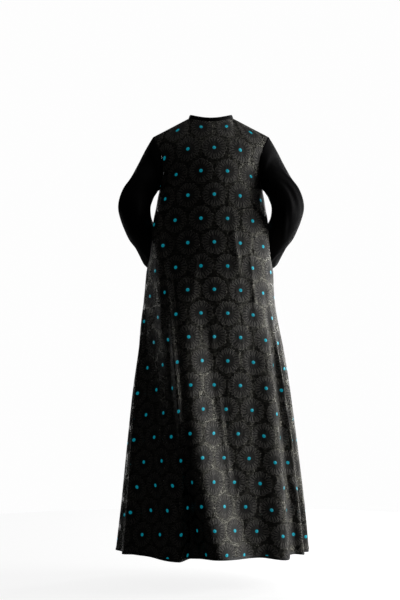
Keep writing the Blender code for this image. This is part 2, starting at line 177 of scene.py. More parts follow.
def through(table, columns, key, value, name):
    """The named column of a table at a value of its key column, on a smooth curve through the rows."""
    at = columns.index(key)
    of = columns.index(name)
    last = len(table) - 2
    i = 0
    while i < last and value > table[i + 1][at]:
        i += 1
    before = table[max(i - 1, 0)]
    low = table[i]
    high = table[i + 1]
    after = table[min(i + 2, len(table) - 1)]
    step = high[at] - low[at]
    t = min(max((value - low[at]) / step, 0.0), 1.0)
    slope_low = (high[of] - before[of]) / (high[at] - before[at]) * step
    slope_high = (after[of] - low[of]) / (after[at] - low[at]) * step
    return ((2 * t ** 3 - 3 * t ** 2 + 1) * low[of] + (t ** 3 - 2 * t ** 2 + t) * slope_low
            + (3 * t ** 2 - 2 * t ** 3) * high[of] + (t ** 3 - t ** 2) * slope_high)


@lru_cache(maxsize=None)
def section(down):
    """The plain section's half widths and depths at a height: left, right, back, front."""
    return tuple(through(SECTIONS, SECTION_COLUMNS, "down", down, name) for name in SECTION_COLUMNS[1:])


def turn_between(a, b):
    """The shortest way from turn b to turn a, in degrees."""
    return (a - b + 180.0) % 360.0 - 180.0


def crest_turn(fold, down):
    """The turn of a fold's crest at a height."""
    grown = min(max(down - fold["start"], 0.0) / (LENGTH - fold["start"]), 1.0)
    gone = 1.0 - (1.0 - grown) ** fold["bend"]
    return fold["turn_start"] + (fold["turn_hem"] - fold["turn_start"]) * gone


@lru_cache(maxsize=None)
def folds_at(down):
    """The folds that have begun at a height: crest, flanks, how far each stands out and lowers the hem."""
    begun = []
    for fold in NAMED_FOLDS:
        grown = (down - fold["start"]) / (LENGTH - fold["start"])
        if grown > 0.0:
            size = smooth(grown * FOLD_RISE) * (FOLD_FIRST_SHARE + (1.0 - FOLD_FIRST_SHARE) * grown)
            begun.append((crest_turn(fold, down), fold["left_flank"], fold["right_flank"],
                          fold["height"] * size, fold["drop"] * smooth(grown), fold["edge"]))
    return begun


@lru_cache(maxsize=None)
def creases_at(down):
    """The creases that pass a height: turn, half width and height there."""
    passing = []
    for crease in NAMED_CREASES:
        t = (down - crease["down_top"]) / (crease["down_low"] - crease["down_top"])
        if 0.0 < t < 1.0:
            turn = crease["turn_top"] + (crease["turn_low"] - crease["turn_top"]) * t
            passing.append((turn, crease["half_turn"], crease["height"] * sin(pi * t) ** CREASE_ROUND))
    return passing


def fold_height(turn, down, fold_share, crease_share):
    """How far folds and creases stand out of the plain section, and how far the folds lower the hem."""
    out = 0.0
    lower = 0.0
    for crest, left_flank, right_flank, height, drop, edge in folds_at(down):
        away = turn_between(turn, crest)
        flank = left_flank if away > 0.0 else right_flank
        if abs(away) < flank:
            swell = (0.5 + 0.5 * cos(pi * away / flank)) ** edge
            out += height * swell * fold_share ** (STEEP_POWER if right_flank < STEEP_FLANK else 1.0)
            lower += drop * swell
    if crease_share > 0.0:
        for crest, half_turn, height in creases_at(down):
            away = abs(turn_between(turn, crest)) / half_turn
            if away < 1.0:
                out += crease_share * height * (1.0 - away) ** 2 * (1.0 + 2.0 * away)
    return out, lower


def press_depth(turn, down):
    """How far the bent arms press the cloth in."""
    depth = 0.0
    for press in NAMED_PRESSES:
        across = abs(turn_between(abs(turn), press["turn"])) / press["half_turn"]
        along = abs(down - press["down"]) / press["half_down"]
        if across < 1.0 and along < 1.0:
            depth += press["depth"] * (0.5 + 0.5 * cos(pi * across)) * (0.5 + 0.5 * cos(pi * along))
    return depth


def neck_point(around):
    """A point of the neck edge, going round by degrees from the nape."""
    a = radians(around)
    x = NECK_HALF_WIDTH * sin(a)
    if cos(a) >= 0.0:
        return Vector((x, NECK_BACK_DEPTH * cos(a), NECK_SIDE_RISE * sin(a) ** 2))
    fall = (NECK_SIDE_RISE + NECK_FRONT_DROP) * abs(cos(a)) ** NECK_FRONT_ROUND
    return Vector((x, NECK_FRONT_DEPTH * cos(a), NECK_SIDE_RISE - fall))


def armhole_point(around, side):
    """A point of the armhole line, by degrees from its top over its back edge."""
    a = radians(around)
    up = Vector((cos(ARMHOLE_TILT), 0.0, sin(ARMHOLE_TILT)))
    point = ARMHOLE_CENTRE + up * (ARMHOLE_HALF_HEIGHT * cos(a))
    point += Vector((-ARMHOLE_BOW * sin(a) ** 2, ARMHOLE_HALF_DEPTH * sin(a), 0.0))
    return Vector((point.x * side, point.y, point.z))


def neck_turn(around):
    """The turn at which the body's top edge holds a point of the neck edge."""
    if abs(around) <= 90.0:
        return around * NECK_SHARE
    past_side = 180.0 - abs(around)
    return (180.0 - past_side * NECK_SHARE) * (1.0 if around > 0.0 else -1.0)


def top_edge(turn, front):
    """The neck and shoulder edge of the back, or of the fronts."""
    share = -turn_between(turn, 180.0) / 90.0 if front else turn / 90.0
    if abs(share) <= NECK_SHARE:
        around = share / NECK_SHARE * 90.0
        return neck_point(180.0 - around if front else around)
    side = 1.0 if share > 0.0 else -1.0
    along = (abs(share) - NECK_SHARE) / (1.0 - NECK_SHARE)
    return neck_point(90.0 * side).lerp(armhole_point(0.0, side), along)


def section_point(turn, down):
    """A point of the body's plain section, and the way out of it."""
    a = radians(turn)
    left, right, back, front = section(down)
    half = 0.5 * (left + right) + 0.5 * (left - right) * sin(a)
    depth = 0.5 * (back + front) + 0.5 * (back - front) * cos(a)
    outward = Vector((sin(a) / half, cos(a) / depth, 0.0)).normalized()
    return Vector((half * sin(a), depth * cos(a), -down)), outward


def yoke_point(turn, down, front):
    """A point above the underarm: its row runs in an arc from the centre line to the armhole."""
    v = down / UNDERARM_DOWN
    middle = 180.0 if front else 0.0
    from_middle = abs(turn_between(turn, middle)) / 90.0
    side = 1.0 if sin(radians(turn)) >= 0.0 else -1.0
    arc = 90.0 * (1.0 - YOKE_FLATNESS * sin(pi * v))
    across = sin(radians(arc * from_middle)) / sin(radians(arc))
    along = (1.0 - cos(radians(arc * from_middle))) / (1.0 - cos(radians(arc)))
    centre = section_point(middle, down)[0]
    neck_level = -NECK_FRONT_DROP * (1.0 - v) if front else 0.0
    roll = from_middle ** 2 * exp(-down / SHOULDER_ROLL)
    way = -180.0 if front else 180.0
    edge = armhole_point(way * v, side)
    level = neck_level * (1.0 - from_middle) ** 2 - down * (1.0 - roll)
    point = Vector((edge.x * across, centre.y + (edge.y - centre.y) * along, level))
    point.z += (edge.z - level) * from_middle ** (YOKE_LIFT_TOP + YOKE_LIFT_GAIN * v)
    fade = max(1.0 - down / TOP_EDGE_REACH, 0.0) ** 2
    if fade > 0.0:
        tip = armhole_point(0.0, side)
        round_top = section_point(middle, 0.0)[0].y * cos(radians(90.0 * from_middle))
        start = Vector((tip.x * sin(radians(90.0 * from_middle)), round_top, 0.0))
        top_level = -NECK_FRONT_DROP * (1.0 - from_middle) ** 2 if front else 0.0
        start.z = top_level + (tip.z - top_level) * from_middle ** 2
        point += (top_edge(turn, front) - start) * fade
    return point, section_point(turn, UNDERARM_DOWN)[1]


def plain_point(turn, down, front, fold_share, crease_share):
    """A point of the body's cloth: its plain form, the presses of the arms, the folds and the creases."""
    if down < UNDERARM_DOWN:
        point, outward = yoke_point(turn, down, front)
    else:
        point, outward = section_point(turn, down)
    folds, lower = fold_height(turn, down, fold_share, crease_share)
    point.z -= lower
    return point + outward * (folds - press_depth(turn, down))


def cloth_point(turn, down, front, lift, fold_share=1.0, crease_share=1.0):
    """A point of the body's cloth moved out of it by lift, along its own normal."""
    from_centre = turn_between(turn, 180.0) if front else turn
    turn_step = NORMAL_TURN if from_centre < 0.0 else -NORMAL_TURN
    down_step = NORMAL_DOWN if down < LENGTH - NORMAL_DOWN else -NORMAL_DOWN
    here = plain_point(turn, down, front, fold_share, crease_share)
    if lift == 0.0:
        return here
    beside = plain_point(turn + turn_step, down, front, fold_share, crease_share)
    below = plain_point(turn, down + down_step, front, fold_share, crease_share)
    normal = (beside - here).cross(below - here)
    if turn_step * down_step < 0.0:
        normal.negate()
    if down < RIDGE_DOWN:
        shoulder = smooth((abs(sin(radians(turn))) - RIDGE_FROM) / RIDGE_BLEND)
        normal.y *= 1.0 - shoulder * (1.0 - down / RIDGE_DOWN)
    return here + normal.normalized() * lift


def seam_turn(down):
    """The turn that keeps the edges of two panels just apart, so that nothing shows between them."""
    return degrees(SIDE_SEAM / section(down)[0])


def side_to_side(u, down, low, high):
    """The turn at u from 0 to 1 between two edges, with more of the width given to the fold crests."""
    knots = [(0.0, low)]
    for fold in NAMED_FOLDS:
        share = (fold["turn_hem"] - low) / (high - low)
        if KNOT_FROM_EDGE < share < 1.0 - KNOT_FROM_EDGE:
            if fold["right_flank"] < STEEP_FLANK:
                valley = (fold["turn_hem"] - 2.0 * fold["right_flank"] - low) / (high - low)
                knots.append((valley, crest_turn(fold, down) - fold["right_flank"]))
            knots.append((share, crest_turn(fold, down)))
    knots.append((1.0, high))
    for (first, start), (last, end) in zip(knots, knots[1:]):
        if u <= last:
            return start + (end - start) * (u - first) / (last - first)
    return high


def back_turn(u, down):
    reach = 90.0 - seam_turn(down)
    return side_to_side(u, down, -reach, reach)


BODY_ROWS = 160
BACK_COLUMNS = 200
CONE_TOP = 0.917
SHEER_WALL = 0.0002
SAME_POINT = 0.00001
HALVINGS = 30


def body_down(v, hem=LENGTH):
    """The distance below the nape at v from 0 to 1."""
    return max(v * hem, SEAM_GAP)


def cone_cut(arc, along):
    """Where a point of the flared cloth lies on its flat cut, whose rows are arcs round a far centre."""
    radius = CONE_TOP + along
    return radius * sin(arc / radius), -radius * cos(arc / radius)


def straight_cut(arc, along):
    return arc, -along


def laid_cloth(name, columns, rows, place, middle, cut, wall=0.0, ring=False):
    """A sheet of cloth from a flat grid: place(u, v, depth) lays its points; its UV map is its flat cut."""
    shape = bmesh.new()
    bmesh.ops.create_grid(shape, x_segments=columns, y_segments=rows, size=0.5)
    grid = {}
    for v in shape.verts:
        grid[round((v.co.x + 0.5) * columns), round((v.co.y + 0.5) * rows)] = v
    for (i, j), v in grid.items():
        v.co = place(i / columns, j / rows, 0.0)
    flat = {}
    along = 0.0
    for j in range(rows + 1):
        zero = middle(j / rows) * columns
        arcs = [0.0]
        for i in range(columns):
            arcs.append(arcs[-1] + (grid[i + 1, j].co - grid[i, j].co).length)
        left = min(int(zero), columns - 1)
        start = arcs[left] + (arcs[left + 1] - arcs[left]) * (zero - left)
        if j:
            along += (grid[round(zero), j].co - grid[round(zero), j - 1].co).length
        for i in range(columns + 1):
            flat[grid[i, j]] = cut(arcs[i] - start, along)
    seen = shape.loops.layers.uv.new("cut")
    for face in shape.faces:
        for loop in face.loops:
            loop[seen].uv = flat[loop.vert]
    if ring:
        bmesh.ops.remove_doubles(shape, verts=shape.verts[:], dist=SAME_POINT)
    shape.normal_update()
    face = min(shape.faces, key=lambda f: (f.calc_center_median() - place(0.5, 0.5, 0.0)).length)
    if face.normal.dot(place(0.5, 0.5, 0.0) - place(0.5, 0.5, 1.0)) < 0.0:
        bmesh.ops.reverse_faces(shape, faces=shape.faces[:])
    mesh = bpy.data.meshes.new(name)
    shape.to_mesh(mesh)
    shape.free()
    mesh.shade_smooth()
    piece = bpy.data.objects.new(name, mesh)
    bpy.context.scene.collection.objects.link(piece)
    if wall > 0.0:
        thick = piece.modifiers.new("thickness", "SOLIDIFY")
        thick.thickness = wall
        thick.offset = -1.0
    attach(piece, "root")
    return piece


def back_middle(v):
    """The column share of the centre back at a row."""
    low, high = 0.0, 1.0
    for _ in range(HALVINGS):
        mid = 0.5 * (low + high)
        low, high = (mid, high) if back_turn(mid, body_down(v)) < 0.0 else (low, mid)
    return low


def sum_of(tree, operation, *values):
    """A Math node: each value is a number or another node's output."""
    node = tree.nodes.new("ShaderNodeMath")
    node.operation = operation
    for socket, value in zip(node.inputs, values):
        if isinstance(value, (int, float)):
            socket.default_value = value
        else:
            tree.links.new(value, socket)
    return node.outputs[0]


def way_of(tree, operation, *values):
    """A Vector Math node, whose output is a vector, or a number for a length."""
    node = tree.nodes.new("ShaderNodeVectorMath")
    node.operation = operation
    for socket, value in zip(node.inputs, values):
        if isinstance(value, tuple):
            socket.default_value = value
        else:
            tree.links.new(value, socket)
    return node.outputs["Value" if operation == "LENGTH" else "Vector"]


def ramp(tree, value, low, high):
    """Eases from 0 at low to 1 at high."""
    node = tree.nodes.new("ShaderNodeMapRange")
    node.interpolation_type = "SMOOTHSTEP"
    tree.links.new(value, node.inputs["Value"])
    node.inputs["From Min"].default_value = low
    node.inputs["From Max"].default_value = high
    return node.outputs["Result"]


def falling(tree, value, low, high):
    """Eases from 1 at low to 0 at high."""
    return sum_of(tree, "SUBTRACT", 1.0, ramp(tree, value, low, high))


def mixed(tree, factor, first, second):
    """A colour between two: each is a tuple or another node's output."""
    node = tree.nodes.new("ShaderNodeMix")
    node.data_type = "RGBA"
    tree.links.new(factor, node.inputs[0])
    for socket, value in ((node.inputs[6], first), (node.inputs[7], second)):
        if isinstance(value, tuple):
            socket.default_value = (*value, 1.0)
        else:
            tree.links.new(value, socket)
    return node.outputs[2]


def noise_of(tree, place, scale, detail, stretch=(1.0, 1.0, 1.0)):
    """Soft noise whose cells are stretched along the cloth."""
    node = tree.nodes.new("ShaderNodeTexNoise")
    node.inputs["Scale"].default_value = scale
    node.inputs["Detail"].default_value = detail
    tree.links.new(way_of(tree, "MULTIPLY", place, stretch), node.inputs["Vector"])
    return node.outputs[0]


def effect(name, inputs, outputs):
    """A new node group with its sockets, which gives its tree, its input node and its output node."""
    tree = bpy.data.node_groups.new(name, "ShaderNodeTree")
    for socket, kind in inputs:
        tree.interface.new_socket(socket, in_out="INPUT", socket_type=kind)
    for socket, kind in outputs:
        tree.interface.new_socket(socket, in_out="OUTPUT", socket_type=kind)
    return tree, tree.nodes.new("NodeGroupInput"), tree.nodes.new("NodeGroupOutput")


# Plain weave, seen only from near: crossing threads of one pitch
ORGANZA_THREADS = 900.0
SATIN_THREADS = 1400.0
weave, weave_in, weave_out = effect(
    "plain weave", [("Place", "NodeSocketVector"), ("Threads per metre", "NodeSocketFloat")],
    [("Thread", "NodeSocketFloat")])
scaled = weave.nodes.new("ShaderNodeVectorMath")
scaled.operation = "SCALE"
weave.links.new(weave_in.outputs["Place"], scaled.inputs[0])
weave.links.new(weave_in.outputs["Threads per metre"], scaled.inputs["Scale"])
split = weave.nodes.new("ShaderNodeSeparateXYZ")
weave.links.new(scaled.outputs[0], split.inputs[0])
warp = sum_of(weave, "SINE", sum_of(weave, "MULTIPLY", split.outputs[0], 2.0 * pi))
weft = sum_of(weave, "SINE", sum_of(weave, "MULTIPLY", split.outputs[1], 2.0 * pi))
weave.links.new(sum_of(weave, "MULTIPLY", warp, weft), weave_out.inputs["Thread"])

# Daisies: a disc of close threads, petals of clipped yarn round it and a turquoise eye.
# They stand in rows with every second row moved on by half a step. Sizes here are in millimetres.
ROW_STEP = 86.0
ROWS_APART = 77.0
FIRST_DAISY = (-33.0, 22.0)
DAISY_RADIUS = 41.0
DISC_RADIUS = 21.5
EYE_RADIUS = 5.7
PETALS = 20
PETAL_HALF = 4.6
PETAL_UNEVEN = 3.5
PETAL_SHORT = 2.5
PETAL_SOFT = 0.3
LOOP_INSET = 1.3
LOOP_FROM = 1.1
LOOP_TO = 1.9
WOBBLE_PITCH = 0.09
WOBBLE_WIDTH = 3.0
PETAL_BEND = 0.9
MOST_TURNED = 9.0
CELL_DEPTH = 10.0
daisies, daisies_in, daisies_out = effect(
    "clipped daisies", [("Place", "NodeSocketVector")],
    [(name, "NodeSocketFloat") for name in ("Flower", "Loop", "Disc line", "Eye", "Relief", "Chance")])
cell_size = (ROW_STEP, 2.0 * ROWS_APART, CELL_DEPTH)
in_mm = way_of(daisies, "MULTIPLY", daisies_in.outputs["Place"], (1000.0, 1000.0, 1000.0))
start = way_of(daisies, "ADD", in_mm, (FIRST_DAISY[0], FIRST_DAISY[1], 0.0))
moved_on = way_of(daisies, "ADD", start, (0.5 * ROW_STEP, ROWS_APART, 0.0))
half_cell = tuple(0.5 * size for size in cell_size)
minus_half_cell = tuple(-0.5 * size for size in cell_size)
even = way_of(daisies, "WRAP", start, half_cell, minus_half_cell)
odd = way_of(daisies, "WRAP", moved_on, half_cell, minus_half_cell)
even_nearer = sum_of(daisies, "LESS_THAN", way_of(daisies, "LENGTH", even), way_of(daisies, "LENGTH", odd))
nearest = daisies.nodes.new("ShaderNodeMix")
nearest.data_type = "VECTOR"
daisies.links.new(even_nearer, nearest.inputs[0])
daisies.links.new(odd, nearest.inputs[4])
daisies.links.new(even, nearest.inputs[5])
from_eye = nearest.outputs[1]
steps = way_of(daisies, "DIVIDE", way_of(daisies, "SUBTRACT", start, from_eye),
               (0.5 * ROW_STEP, ROWS_APART, CELL_DEPTH))
which = way_of(daisies, "FLOOR", way_of(daisies, "ADD", steps, (0.5, 0.5, 0.5)))
chance = daisies.nodes.new("ShaderNodeTexWhiteNoise")
chance.noise_dimensions = "3D"
daisies.links.new(which, chance.inputs["Vector"])
wobble = daisies.nodes.new("ShaderNodeTexNoise")
wobble.inputs["Scale"].default_value = WOBBLE_PITCH
wobble.inputs["Detail"].default_value = 1.0
daisies.links.new(in_mm, wobble.inputs["Vector"])
from_centre = way_of(daisies, "LENGTH", from_eye)
uneven = sum_of(daisies, "MULTIPLY", sum_of(daisies, "SUBTRACT", wobble.outputs[0], 0.5), WOBBLE_WIDTH)
radius = sum_of(daisies, "ADD", from_centre, uneven)
parts = daisies.nodes.new("ShaderNodeSeparateXYZ")
daisies.links.new(from_eye, parts.inputs[0])
angle = sum_of(daisies, "ARCTAN2", parts.outputs[1], parts.outputs[0])
turned = sum_of(daisies, "ADD", sum_of(daisies, "MULTIPLY", angle, PETALS / (2.0 * pi)),
                sum_of(daisies, "MULTIPLY", chance.outputs["Value"], MOST_TURNED))
bent = sum_of(daisies, "ADD", turned, sum_of(daisies, "MULTIPLY", wobble.outputs[0], PETAL_BEND))
petal = sum_of(daisies, "FLOOR", bent)
across = sum_of(daisies, "SUBTRACT", sum_of(daisies, "FRACT", bent), 0.5)
sideways = sum_of(daisies, "MULTIPLY", sum_of(daisies, "MULTIPLY", across, 2.0 * pi / PETALS), radius)
petal_chance = daisies.nodes.new("ShaderNodeTexWhiteNoise")
petal_chance.noise_dimensions = "2D"
pair = daisies.nodes.new("ShaderNodeCombineXYZ")
daisies.links.new(petal, pair.inputs[0])
daisies.links.new(chance.outputs["Value"], pair.inputs[1])
daisies.links.new(pair.outputs[0], petal_chance.inputs["Vector"])
reach = sum_of(daisies, "ADD", sum_of(daisies, "MULTIPLY", petal_chance.outputs["Value"], PETAL_UNEVEN),
               DAISY_RADIUS - PETAL_HALF - PETAL_SHORT)
past_end = sum_of(daisies, "MAXIMUM", sum_of(daisies, "SUBTRACT", radius, reach), 0.0)
from_middle_line = sum_of(daisies, "SQRT", sum_of(
    daisies, "ADD", sum_of(daisies, "POWER", sideways, 2.0), sum_of(daisies, "POWER", past_end, 2.0)))
inside_petal = falling(daisies, from_middle_line, PETAL_HALF - PETAL_SOFT, PETAL_HALF + PETAL_SOFT)
edge_way = sum_of(daisies, "ABSOLUTE", sum_of(daisies, "SUBTRACT", from_middle_line, PETAL_HALF - LOOP_INSET))
past_disc = ramp(daisies, radius, DISC_RADIUS - 2.0, DISC_RADIUS + 2.5)
loop = sum_of(daisies, "MULTIPLY", falling(daisies, edge_way, LOOP_FROM, LOOP_TO), past_disc)
disc = falling(daisies, radius, DISC_RADIUS, DISC_RADIUS + 1.5)
flower = sum_of(daisies, "MAXIMUM", disc, inside_petal)
rays = sum_of(daisies, "MULTIPLY", sum_of(daisies, "ABSOLUTE", across), 2.0)
disc_line = sum_of(daisies, "MULTIPLY", disc, sum_of(
    daisies, "ADD", sum_of(daisies, "MULTIPLY", ramp(daisies, rays, 0.55, 0.9), 0.35), 0.65))
eye = falling(daisies, from_centre, EYE_RADIUS - 0.5, EYE_RADIUS + 0.2)
dome = falling(daisies, from_centre, 0.0, EYE_RADIUS + 0.5)
relief = sum_of(daisies, "MULTIPLY", loop, 0.9)
for layer, share in ((flower, 0.5), (disc_line, 0.25), (dome, 1.2)):
    relief = sum_of(daisies, "ADD", relief, sum_of(daisies, "MULTIPLY", layer, share))
for name, value in (("Flower", flower), ("Loop", loop), ("Disc line", disc_line), ("Eye", eye),
                    ("Relief", relief), ("Chance", chance.outputs["Value"])):
    daisies.links.new(value, daisies_out.inputs[name])


def placed(tree, group, **inputs):
    """A group node of an effect, with its inputs linked."""
    node = tree.nodes.new("ShaderNodeGroup")
    node.node_tree = group
    for name, value in inputs.items():
        socket = node.inputs[name.replace("_", " ")]
        if isinstance(value, (int, float)):
            socket.default_value = value
        else:
            tree.links.new(value, socket)
    return node


def cloth_material(name):
    """A new material, its tree, its shader and the cloth's flat cut as a place."""
    made = bpy.data.materials.new(name)
    made.use_nodes = True
    tree = made.node_tree
    cut = tree.nodes.new("ShaderNodeUVMap")
    cut.uv_map = "cut"
    return made, tree, tree.nodes["Principled BSDF"], cut.outputs[0]


def set_inputs(shader, **values):
    """Sets inputs of a shader by their names, with _ for a space."""
    for name, value in values.items():
        shader.inputs[name.replace("_", " ")].default_value = value


def raised(tree, shader, height, distance, below=None):
    """Bump from a height, over the bump below it."""
    node = tree.nodes.new("ShaderNodeBump")
    node.inputs["Strength"].default_value = 1.0
    node.inputs["Distance"].default_value = distance
    tree.links.new(height, node.inputs["Height"])
    if below is not None:
        tree.links.new(below, node.inputs["Normal"])
    tree.links.new(node.outputs["Normal"], shader.inputs["Normal"])
    return node.outputs["Normal"]


# Organza: silvery and see-through between the daisies, dull and close where they are woven
SHEER_ALPHA = 0.62
EYE_COLOUR = (0.01, 0.72, 0.92)
# The eyes' emission is painted light: it keeps them bright even in shade, though they are no lamp.
EYE_PAINTED_LIGHT = (0.001, 0.125, 0.165)
organza, tree, shader, cut = cloth_material("flowered organza")
pattern = placed(tree, daisies, Place=cut)
threads = placed(tree, weave, Place=cut, Threads_per_metre=ORGANZA_THREADS)
crush = noise_of(tree, cut, 38.0, 4.0, (1.6, 0.55, 1.0))
shimmer = noise_of(tree, cut, 120.0, 3.0, (0.5, 1.8, 1.0))
ground = mixed(tree, ramp(tree, shimmer, 0.30, 0.72), (0.026, 0.026, 0.025), (0.250, 0.243, 0.205))
dull = mixed(tree, pattern.outputs["Chance"], (0.014, 0.013, 0.012), (0.022, 0.021, 0.019))
dull = mixed(tree, pattern.outputs["Disc line"], dull, (0.050, 0.047, 0.041))
dull = mixed(tree, pattern.outputs["Loop"], dull, (0.180, 0.171, 0.152))
colour = mixed(tree, pattern.outputs["Flower"], ground, dull)
colour = mixed(tree, pattern.outputs["Eye"], colour, EYE_COLOUR)
tree.links.new(colour, shader.inputs["Base Color"])
# Painted light: the turquoise eyes glow by emission, so they stay bright where the cloth is in shade.
eye_painted_light = mixed(tree, pattern.outputs["Eye"], (0.0, 0.0, 0.0), EYE_PAINTED_LIGHT)
tree.links.new(eye_painted_light, shader.inputs["Emission Color"])
not_flower = sum_of(tree, "SUBTRACT", 1.0, pattern.outputs["Flower"])
tree.links.new(sum_of(tree, "MULTIPLY", not_flower, 0.85), shader.inputs["Metallic"])
rough = sum_of(tree, "ADD", sum_of(tree, "MULTIPLY", pattern.outputs["Flower"], 0.26), 0.40)
rough = sum_of(tree, "SUBTRACT", rough, sum_of(tree, "MULTIPLY", pattern.outputs["Eye"], 0.30))
tree.links.new(rough, shader.inputs["Roughness"])
tree.links.new(sum_of(tree, "MAXIMUM", pattern.outputs["Flower"], SHEER_ALPHA), shader.inputs["Alpha"])
below = raised(tree, shader, crush, 0.004)
below = raised(tree, shader, pattern.outputs["Relief"], 0.0012, below)
raised(tree, shader, threads.outputs["Thread"], 0.00008, below)
# The emission strength switches on the eyes' painted light; the sheen settings belong to the cloth itself.
set_inputs(shader, Emission_Strength=1.0, Sheen_Weight=0.05, Sheen_Roughness=0.4,
           Sheen_Tint=(0.85, 0.84, 0.80, 1.0))


def outer_back(u, v, depth):
    down = body_down(v)
    return cloth_point(back_turn(u, down), down, False, -SHEER_WALL * depth)


back_panel = laid_cloth("back_panel_organza", BACK_COLUMNS, BODY_ROWS, outer_back, back_middle, cone_cut)
back_panel.data.materials.append(organza)
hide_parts("back_panel")


# Fronts.
# Two flared pieces of the same organza that meet at the centre front, the right lapped over the left
# by 25 mm and held by hidden snaps. The grain runs down the front edges.
LAP_HALF = 0.0125
LAP_LIFT = 0.0024
LAP_RAMP = 0.035
FRONT_COLUMNS = 100


def front_turn(u, down, side, past_centre):
    """The turn of a front's point: from its side seam to the centre and as far past it as given."""
    start = 90.0 + seam_turn(down)
    end = 180.0 + degrees(asin(past_centre / section(down)[0]))
    if side > 0:
        return side_to_side(u, down, start, end)
    return side_to_side(1.0 - u, down, -end, -start)


def lap_lift(x, side):
    """The right front lies on the left front, so it stands out near its edge."""
    if side > 0:
        return 0.0
    return LAP_LIFT * smooth((x + LAP_HALF + LAP_RAMP) / LAP_RAMP)


def outer_front(u, v, depth, side):
    down = body_down(v)
    turn = front_turn(u, down, side, LAP_HALF)
    x = plain_point(turn, down, True, 1.0, 0.0).x
    return cloth_point(turn, down, True, lap_lift(x, side) - SHEER_WALL * depth)


fronts = {}
for side, hand in ((1, "left"), (-1, "right")):
    fronts[hand] = laid_cloth(
        f"{hand}_front_organza", FRONT_COLUMNS, BODY_ROWS,
        lambda u, v, depth: outer_front(u, v, depth, side), lambda v: 1.0, cone_cut)
    fronts[hand].data.materials.append(organza)
    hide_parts(f"{hand}_front")


# Lining.
# Plain black satin in the same three pieces, a little inside the organza and 2 mm shorter, caught with
# it at the neck and shoulders. Its folds are a little flatter, and it shows dark through the organza.
LINING_WALL = 0.0005
LINING_GAP_TOP = 0.0042
LINING_GAP_HEM = 0.0060
LINING_FOLD_SHARE = 0.94
LINING_HEM_SHORT = 0.002
LINING_EDGE_BACK = 0.012
LINING_TOP = 0.0019
LINING_LOOSE_DOWN = 0.35
LINING_CAUGHT_DOWN = 0.03
LINING_CAUGHT_GAP = 0.12
LINING_ROWS = 90
LINING_BACK_COLUMNS = 110
LINING_FRONT_COLUMNS = 56

black_satin, tree, shader, cut = cloth_material("black lining satin")
ripple = noise_of(tree, cut, 22.0, 3.0, (2.0, 0.35, 1.0))
threads = placed(tree, weave, Place=cut, Threads_per_metre=SATIN_THREADS)
colour = mixed(tree, ripple, (0.0035, 0.0035, 0.0042), (0.0065, 0.0065, 0.0075))
tree.links.new(colour, shader.inputs["Base Color"])
tree.links.new(sum_of(tree, "ADD", sum_of(tree, "MULTIPLY", ripple, 0.15), 0.52), shader.inputs["Roughness"])
below = raised(tree, shader, ripple, 0.004)
raised(tree, shader, threads.outputs["Thread"], 0.00005, below)
set_inputs(shader, Specular_IOR_Level=0.3)


def lining_lift(down, depth):
    gap = LINING_GAP_TOP + (LINING_GAP_HEM - LINING_GAP_TOP) * smooth(down / LINING_LOOSE_DOWN)
    caught = LINING_CAUGHT_GAP + (1.0 - LINING_CAUGHT_GAP) * smooth(down / LINING_CAUGHT_DOWN)
    return -SHEER_WALL - gap * caught - LINING_WALL * depth


def lining_down(v):
    return LINING_TOP + (LENGTH - LINING_HEM_SHORT - LINING_TOP) * v


def lining_back(u, v, depth):
    down = lining_down(v)
    turn = side_to_side(u, down, -90.0, 90.0)
    return cloth_point(turn, down, False, lining_lift(down, depth), LINING_FOLD_SHARE, 0.0)


def lining_front(u, v, depth, side):
    down = lining_down(v)
    end = 180.0 - degrees(asin(LINING_EDGE_BACK / section(down)[0]))
    if side > 0:
        turn = side_to_side(u, down, 90.0, end)
    else:
        turn = side_to_side(1.0 - u, down, -end, -90.0)
    return cloth_point(turn, down, True, lining_lift(down, depth), LINING_FOLD_SHARE, 0.0)


linings = [laid_cloth("back_lining_satin", LINING_BACK_COLUMNS, LINING_ROWS, lining_back,
                      lambda v: 0.5, cone_cut, LINING_WALL)]
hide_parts("lining_back")
for side, hand in ((1, "left"), (-1, "right")):
    made = laid_cloth(f"{hand}_front_lining_satin", LINING_FRONT_COLUMNS, LINING_ROWS,
                      lambda u, v, depth: lining_front(u, v, depth, side),
                      lambda v: 1.0, cone_cut, LINING_WALL)
    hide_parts(f"lining_{hand}_front")
    linings.append(made)
for made in linings:
    made.data.materials.append(black_satin)


# Sleeves.
# Plain black crepe tubes of one piece each, set into the armholes with the seam under the arm.
# They follow arms bent forward at the elbow, with drag creases round the elbow and down the forearm.
SLEEVE_WALL = 0.0008
SLEEVE_LOOK = 0.024
SLEEVE_TURN_END = 0.05
SLEEVE_BOW_END = 0.06
SLEEVE_SIDES = 120
SLEEVE_STEPS = 110
SLEEVE_COLUMNS = ("along", "x", "y", "z", "across", "deep", "tilt")
SLEEVE_RINGS = (
    (0.000, 0.1800, 0.000, -0.1350, 0.088, 0.058, 83.5),
    (0.027, 0.1943, 0.005, -0.1568, 0.074, 0.058, 76.1),
    (0.059, 0.2075, 0.014, -0.1845, 0.059, 0.056, 63.2),
    (0.096, 0.2230, 0.030, -0.2145, 0.050, 0.054, 41.3),
    (0.135, 0.2405, 0.043, -0.2470, 0.052, 0.053, 16.9),
    (0.175, 0.2498, 0.050, -0.2845, 0.053, 0.053, 2.7),
    (0.223, 0.2430, 0.026, -0.3260, 0.050, 0.052, 0.0),
    (0.287, 0.2265, -0.027, -0.3590, 0.048, 0.052, 0.0),
    (0.362, 0.2050, -0.092, -0.3900, 0.051, 0.054, 0.0),
    (0.457, 0.1790, -0.172, -0.4340, 0.056, 0.056, 0.0),
)
